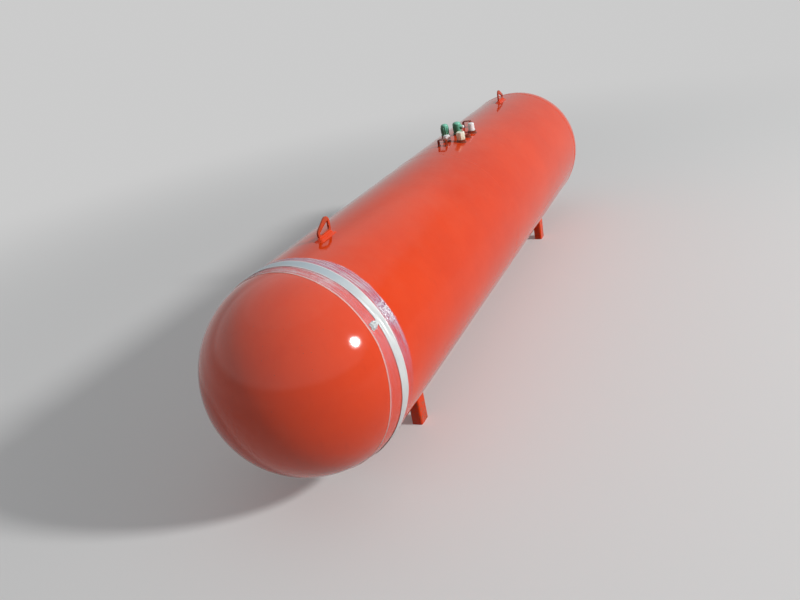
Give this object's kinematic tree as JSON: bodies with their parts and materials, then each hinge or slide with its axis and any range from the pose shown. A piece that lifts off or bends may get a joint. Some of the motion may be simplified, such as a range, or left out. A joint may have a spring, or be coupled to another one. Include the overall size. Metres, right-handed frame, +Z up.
{
  "type": "horizontal pressure tank",
  "caption": "Long horizontal liquefied gas tank with hemispherical heads, lifting lugs, short channel legs and a capped valve cluster on top; one head seam is wrapped in film and tape.",
  "frame": {"origin": "on the floor under the middle of the tank", "axes": "+X along the tank from the taped end to the other end, +Y to the left seen from the taped end, +Z up"},
  "size_m": [4.85, 1.0493, 1.2408],
  "materials": {
    "tank_paint": "glossy orange-red enamel",
    "green_plastic": "moulded green plastic",
    "white_plastic": "moulded white plastic",
    "cream_plastic": "cream plastic housing",
    "brass": "machined brass",
    "grey_metal": "cast zinc",
    "clear_film": "clear stretch film",
    "silver_tape": "silver cloth tape"
  },
  "bodies": {
    "root": {"shell_near": "tank_paint", "shell_far": "tank_paint", "head_near": "tank_paint", "head_far": "tank_paint", "seam_weld_near": "tank_paint", "seam_weld_middle": "tank_paint", "seam_weld_far": "tank_paint", "long_weld_near": "tank_paint", "long_weld_far": "tank_paint", "lifting_lug_near": "tank_paint", "lifting_lug_far": "tank_paint", "lug_pad_near": "tank_paint", "lug_pad_far": "tank_paint", "leg_near_left": "tank_paint", "leg_near_right": "tank_paint", "leg_far_left": "tank_paint", "leg_far_right": "tank_paint", "leg_pad_near_left": "tank_paint", "leg_pad_near_right": "tank_paint", "leg_pad_far_left": "tank_paint", "leg_pad_far_right": "tank_paint", "fill_coupling": "tank_paint", "fill_valve": "brass", "fill_cap": "green_plastic", "service_coupling": "tank_paint", "service_valve": "brass", "service_cap": "green_plastic", "service_outlet_cap": "white_plastic", "relief_coupling": "tank_paint", "relief_valve": "brass", "relief_cap": "white_plastic", "vapour_coupling": "tank_paint", "vapour_valve": "brass", "vapour_cap": "white_plastic", "gauge_coupling": "tank_paint", "gauge_body": "grey_metal", "gauge_dial": "cream_plastic", "spare_coupling": "tank_paint", "spare_plug": "tank_paint", "hood_bracket_near": "tank_paint", "hood_bracket_far": "tank_paint", "wrap_film": "clear_film", "tape_band": "silver_tape"}
  },
  "joints": []
}
